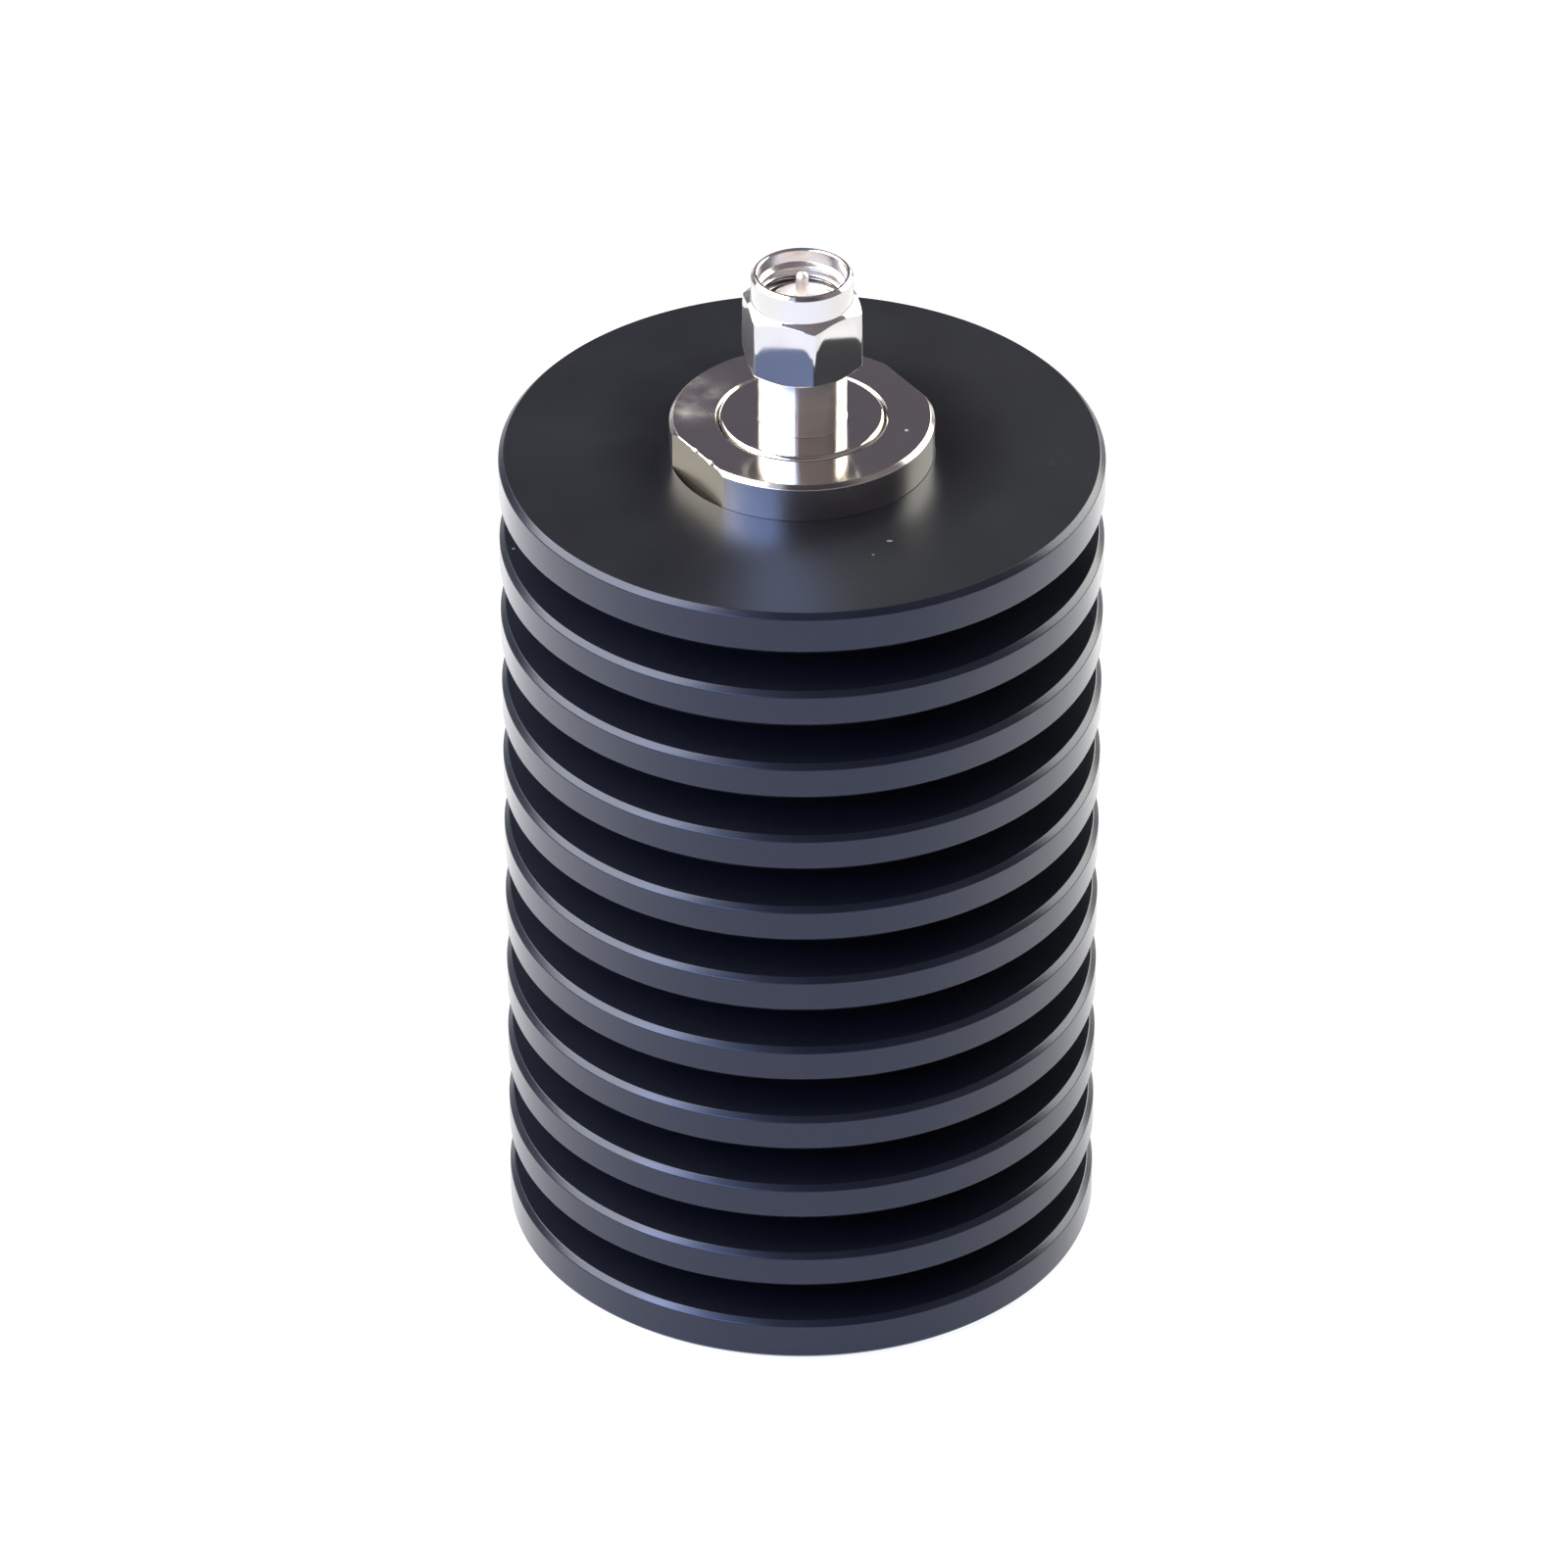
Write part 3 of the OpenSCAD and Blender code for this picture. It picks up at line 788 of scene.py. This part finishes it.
# %% Coupling nut
def nut_profile(angles, rows=10, steps=6):
    """Rows of the nut: hexagon, sleeve, rim, thread, relief and the lip that holds it on the neck.

    At each angle the wall runs from the lower cone to the upper one, both of the slope cone_slope.
    The last corner of the outside only gives the mouth its direction, so its rows are left out.
    """
    even = np.ones_like(angles)
    up = np.linspace(0, 1, rows)[:, None]
    wall = hexagon_radius(angles, up)
    land = hex_r - land_cut
    low = nut_base + (wall[0] - land) * cone_slope
    high = hex_top - (wall[-1] - sleeve_r) * cone_slope
    flats = np.stack([wall, low + up * (high - low)], -1)
    foot = np.stack([[lip_r * even, land * even], [nut_base * even, nut_base * even]], -1)
    sleeve = np.stack([
        [sleeve_r * even, sleeve_r * even, (sleeve_r - rim_chamfer) * even,
         (thread_r + mouth_chamfer) * even, thread_r * even, thread_r * even],
        [hex_top * even, (nut_top - rim_chamfer) * even, nut_top * even,
         nut_top * even, (nut_top - mouth_chamfer) * even, lip_top * even],
    ], -1)
    outside = np.concatenate([foot, flats, sleeve])
    cut = np.full(len(outside), nut_edge)
    cut[1:3] = foot_edge                          # the land's rim and the lower end of the flats
    soft = soften(outside, cut[:, None, None], steps)
    relief = np.stack([[thread_r * even, lip_r * even], [lip_top * even, lip_top * even]], -1)
    return np.concatenate([soft[:-steps], thread_rows(angles), relief])


nut_mesh = skin("threaded_coupling_nut", nut_profile(angles_of_nut), angles_of_nut)
finished_piece(nut_mesh, nut_nickel, "nut", "nickel_plated_nut", "coupling_nut")

# %% [markdown]
# ## The middle of the plug
# The pin runs down the axis inside a PTFE sleeve. Only its round tip shows, level with the nut's
# rim. The gasket round the nose is a soft ring, so its edges are well rounded.

# %% Insulator and gasket
line_low, line_high = extent("front_insulator")[1:]
line_bore_r, line_r, line_edge = 0.655, 2.03, 0.06
gasket_bore_r, gasket_edge = 2.56, 0.2
line_corners = np.array([
    [line_bore_r, line_low], [line_r, line_low], [line_r, line_high], [line_bore_r, line_high],
])
gasket_corners = np.array([
    [gasket_bore_r, gasket_low], [gasket_r, gasket_low], [gasket_r, gasket_top],
    [gasket_bore_r, gasket_top],
])
line_mesh = skin("ptfe_line", soften(line_corners[:, None], line_edge), turns(128))
finished_piece(line_mesh, ptfe, "load", "ptfe", "front_insulator")
gasket_mesh = skin("soft_gasket", soften(gasket_corners[:, None], gasket_edge, 8), turns(128))
finished_piece(gasket_mesh, silicone, "load", "silicone_rubber", "gasket")

# %% [markdown]
# ## The pieces that stay as CAD made them
# The pin has a flat milled at its inner end, and the pieces round the resistor are blocks and
# plates. Their CAD shapes are right, so they only get their finish.

# %% Finish the CAD pieces
finishes = {
    "centre_contact": plated, "tab_lead": plated, "rear_insulator": ptfe, "retaining_ring": bronze,
    "resistor_carrier": copper, "resistor_chip": chip_white, "film_cover": cover_white,
}
for name, material in finishes.items():
    nodes[name].data.materials.clear()
    nodes[name].data.materials.append(material)
print("finished CAD pieces:", ", ".join(finishes))

# %% [markdown]
# ## The floor
# Polished metal shows its surroundings more than itself, so the stage is part of the finish. The
# floor is a white sheet that curves up to a low wall all round. A plane would do for the shadow, but
# its far edge would show in the mirrors.

# %% Floor
floor_r, wall_h, wall_r, floor_drop = 1300.0, 330.0, 250.0, 0.02
sweep = np.linspace(0, np.pi / 2, 24)
bend = np.stack([floor_r + wall_r * np.sin(sweep), wall_r * (1 - np.cos(sweep))], -1)
sheet_rows = np.concatenate([[[0, 0], [floor_r / 3, 0]], bend, [[floor_r + wall_r, wall_h]]])
sheet_rows = sheet_rows[::-1] - [0, floor_drop]
floor_mesh = skin("paper_sweep", sheet_rows[:, None], turns(128), closed=False)
floor = bpy.data.objects.new("paper_sweep", floor_mesh)
bpy.context.scene.collection.objects.link(floor)
print("floor of", round(2 * floor_r * MM, 2), "m")

# %% [markdown]
# ## White paper
# In the picture the paper is so bright that it has no tone left. More lamps would wash out the
# object, so the Light Path node does it: the camera and the mirrors see a paper that glows, and all
# other light falls on a plain white sheet, which takes the shadow.
#
# White is as bright as the camera can show, but a mirror that keeps two thirds of the light tells how much
# brighter the paper was. That was most in a pool of light on either side of the object, less in front of it,
# and least on the wall, so the glow that mirrors see is painted with a pool of light and with shade in
# front, behind, on the wall and near the object's foot.

# %% The paper in a mirror
front_glow, side_glow = 1.55, 2.2
foot_from, foot_to, pool_from, pool_to = 30, 90, 122, 132   # millimetres from the base's centre
pool_fall, back_dim, wall_dim = -0.5, 0.5, 0.25


def mirrored_paper(tree):
    """The colour and the glow of the paper as a mirror shows them.

    The glow is painted light. It goes from front_glow before the object to side_glow in a painted pool
    beside it, and beyond the pool it falls below front_glow. Near the object's foot, from foot_from to
    foot_to, the pool fades out as a painted shadow of the object. All that is times one factor for the part
    behind the object and one for the wall.
    """
    place = add(tree, "TexCoord").outputs["Object"]
    away = add(tree, "VectorMath", {0: place}, operation="LENGTH").outputs["Value"]
    way = add(tree, "VectorMath", {0: place}, operation="NORMALIZE")
    side = add(tree, "SeparateXYZ", {"Vector": way.outputs["Vector"]}).outputs
    around = add(tree, "MapRange", {"Value": side["Y"], "From Min": -0.95, "From Max": -0.3})
    tint = add(
        tree, "Mix",
        {FACTOR: around.outputs["Result"], A_COLOUR: linear("#ebeefc"), B_COLOUR: linear("#ffffff")},
        data_type="RGBA",
    )
    # Painted light: a pool of light beside the object, which fades out near its foot as painted shade
    clear = add(tree, "MapRange", {"Value": away, "From Min": foot_from * MM, "From Max": foot_to * MM})
    pool = add(
        tree, "MapRange",
        {
            "Value": away, "From Min": pool_from * MM, "From Max": pool_to * MM,
            "To Min": 1.0, "To Max": pool_fall,
        },
    )
    ring = add(tree, "Math", {0: clear.outputs["Result"], 1: pool.outputs["Result"]}, operation="MULTIPLY")
    beside = add(tree, "Math", {0: around.outputs["Result"], 1: ring.outputs[0]}, operation="MULTIPLY")
    ground = add(
        tree, "MapRange",
        {"Value": beside.outputs[0], "To Min": front_glow, "To Max": side_glow},
        clamp=False,
    )
    back = add(tree, "MapRange", {"Value": side["Y"], "From Min": 0.8, "To Min": 1.0, "To Max": back_dim})
    wall = add(tree, "MapRange", {"Value": side["Z"], "From Max": 0.05, "To Min": 1.0, "To Max": wall_dim})
    level = add(tree, "Math", {0: ground.outputs["Result"], 1: back.outputs["Result"]}, operation="MULTIPLY")
    bright = add(tree, "Math", {0: level.outputs[0], 1: wall.outputs["Result"]}, operation="MULTIPLY")
    return tint.outputs[MIXED], bright.outputs[0]


print(f"glow of the paper in a mirror: {front_glow} in front, up to {side_glow} beside the object")


# %% Material: white paper
def white_paper():
    """Matt white paper that the camera and the mirrors see glowing."""
    glow_share, camera_glow = 0.86, 1.08
    material = bpy.data.materials.new("white paper")
    material.use_nodes = True
    tree = material.node_tree
    tree.nodes.clear()
    ray = add(tree, "LightPath").outputs
    in_mirror = add(
        tree, "Math",
        {0: ray["Is Glossy Ray"], 1: ray["Is Transmission Ray"]},
        operation="MAXIMUM",
    ).outputs[0]
    seen = add(tree, "Math", {0: ray["Is Camera Ray"], 1: in_mirror}, operation="MAXIMUM")
    share = add(tree, "Math", {0: seen.outputs[0], 1: glow_share}, operation="MULTIPLY")
    tint, bright = mirrored_paper(tree)
    colour = add(
        tree, "Mix",
        {FACTOR: in_mirror, A_COLOUR: linear("#fcfdff"), B_COLOUR: tint},
        data_type="RGBA",
    )
    strength = add(tree, "Mix", {FACTOR: in_mirror, A_NUMBER: camera_glow, B_NUMBER: bright})
    shaded = add(tree, "BsdfDiffuse", {"Color": linear("#f4f4f6")})
    glow = add(tree, "Emission", {"Color": colour.outputs[MIXED], "Strength": strength.outputs[0]})
    mixed = add(tree, "MixShader", {0: share.outputs[0], 1: shaded.outputs[0], 2: glow.outputs[0]})
    add(tree, "OutputMaterial", {"Surface": mixed.outputs[0]})
    return material


floor_mesh.materials.append(white_paper())
print("floor material:", floor_mesh.materials[0].name)

# %% [markdown]
# ## The room
# Above the wall the room is dim: greyish violet behind the object, warmer in front and dark high up
# in front. The level tops of the plug and of the heat sink mirror the back, the stem mirrors the
# front, and the clamp ring's front chamfer mirrors the dark part.

# %% Room
def dim_room():
    """Walls from the back's colour to the front's, with a dark patch high up in front."""
    world = bpy.context.scene.world or bpy.data.worlds.new("dim room")
    bpy.context.scene.world = world
    world.use_nodes = True
    tree = world.node_tree
    way = add(tree, "SeparateXYZ", {"Vector": add(tree, "TexCoord").outputs["Generated"]}).outputs
    front = add(
        tree, "MapRange",
        {"Value": way["Y"], "From Min": 0.3, "From Max": -0.5, "To Min": 0.0, "To Max": 1.0},
    )
    walls = add(
        tree, "Mix",
        {FACTOR: front.outputs["Result"], A_COLOUR: linear("#6c6773"), B_COLOUR: linear("#9e9495")},
        data_type="RGBA",
    )
    before = add(tree, "MapRange", {"Value": way["Y"], "From Min": -0.25, "From Max": -0.45})
    raised = add(tree, "MapRange", {"Value": way["Z"], "From Min": 0.62, "From Max": 0.75})
    patch = add(
        tree, "Math",
        {0: before.outputs["Result"], 1: raised.outputs["Result"]},
        operation="MULTIPLY",
    )
    room = add(
        tree, "Mix",
        {FACTOR: patch.outputs[0], A_COLOUR: walls.outputs[MIXED], B_COLOUR: linear("#4c484c")},
        data_type="RGBA",
    )
    tree.links.new(room.outputs[MIXED], tree.nodes["Background"].inputs["Color"])
    return world


print("world:", dim_room().name)

# %% [markdown]
# ## Panels and a window
# A large panel on the left and one on the right behind give the two bright bands on the stem, and a
# smaller one softens the left band's rear. A bluish window in front on the left gives the blue glow
# on the black top and in the nut, with a dim edge beside it and a faint strip above.
#
# Area lamps are made for this. Their power is worked out from the brightness that a mirror should
# show: a lamp that looks the same from everywhere sends out pi times its brightness times its area.

# %% Lamps
panel_distance = 700.0
panels = [   # name, degrees from +X and above the floor, width, height, brightness, colour
    ("left panel", 179, 46, 720, 600, 9.3, "#fffaf0"),
    ("left rear panel", 138, 36, 320, 380, 3.0, "#fffaf0"),
    ("right panel", 41, 25, 640, 500, 7.5, "#fffcea"),
    ("front window", 227, 31, 510, 260, 13.0, "#a3c0ff"),
    ("edge of the window", 253, 31, 150, 260, 0.9, "#dde4ff"),
    ("upper window", 222, 55, 380, 150, 0.7, "#eef0ff"),
]


def panel(name, azimuth, elevation, width, height, brightness, colour):
    """A soft rectangular lamp that faces the plug."""
    turn, rise = np.radians([azimuth, elevation])
    towards = Vector((np.cos(rise) * np.cos(turn), np.cos(rise) * np.sin(turn), np.sin(rise)))
    data = bpy.data.lights.new(name, "AREA")
    data.shape = "RECTANGLE"
    data.size, data.size_y = width * MM, height * MM
    data.energy = brightness * np.pi * data.size * data.size_y
    data.color = linear(colour)[:3]
    lamp = bpy.data.objects.new(name, data)
    lamp.location = Vector((0, 0, ring_top * MM)) + towards * panel_distance * MM
    lamp.rotation_mode = "QUATERNION"
    lamp.rotation_quaternion = towards.to_track_quat("Z", "Y")
    bpy.context.scene.collection.objects.link(lamp)
    print(f"{name}: {data.energy:.1f} W")


for settings in panels:
    panel(*settings)

# %% [markdown]
# ## The camera
# The picture was taken with a long lens, about 36 degrees above the table. Its numbers were found by
# fitting the edges of the fins, so the render lies on the picture. An aimed camera would be simpler
# to write, but it would lose the small turns that the fit found.

# %% Camera
image_px, focal_px, sensor_mm = 1600, 10838.0, 36.0
camera_distance, camera_rise = 805.68, 0.63177
camera_yaw, camera_pitch, camera_roll = 0.001657, 0.037685, -0.001179


def turned(vector, axis, angle):
    """A vector turned about a unit axis: v cos a + (k x v) sin a + k (k . v)(1 - cos a)."""
    return (
        vector * np.cos(angle) + np.cross(axis, vector) * np.sin(angle)
        + axis * np.dot(axis, vector) * (1 - np.cos(angle))
    )


ahead = np.array([0, np.cos(camera_rise), -np.sin(camera_rise)])
right = np.array([1.0, 0, 0])
up = np.cross(right, ahead)
eye = -ahead * camera_distance
ahead, right = turned(ahead, up, camera_yaw), turned(right, up, camera_yaw)
ahead, up = turned(ahead, right, camera_pitch), turned(up, right, camera_pitch)
right, up = turned(right, ahead, camera_roll), turned(up, ahead, camera_roll)

lens = bpy.data.cameras.new("long lens")
lens.sensor_width = sensor_mm
lens.lens = focal_px * sensor_mm / image_px
lens.clip_start, lens.clip_end = 0.01, 20
camera = bpy.data.objects.new("long lens", lens)
axes = np.eye(4)
axes[:3] = np.stack([right, up, -ahead, eye * MM], axis=-1)
camera.matrix_world = Matrix(axes.tolist())
bpy.context.scene.collection.objects.link(camera)
bpy.context.scene.camera = camera
bpy.context.scene.view_settings.view_transform = "Standard"
print(f"lens of {lens.lens:.0f} mm at {camera_distance:.0f} mm")
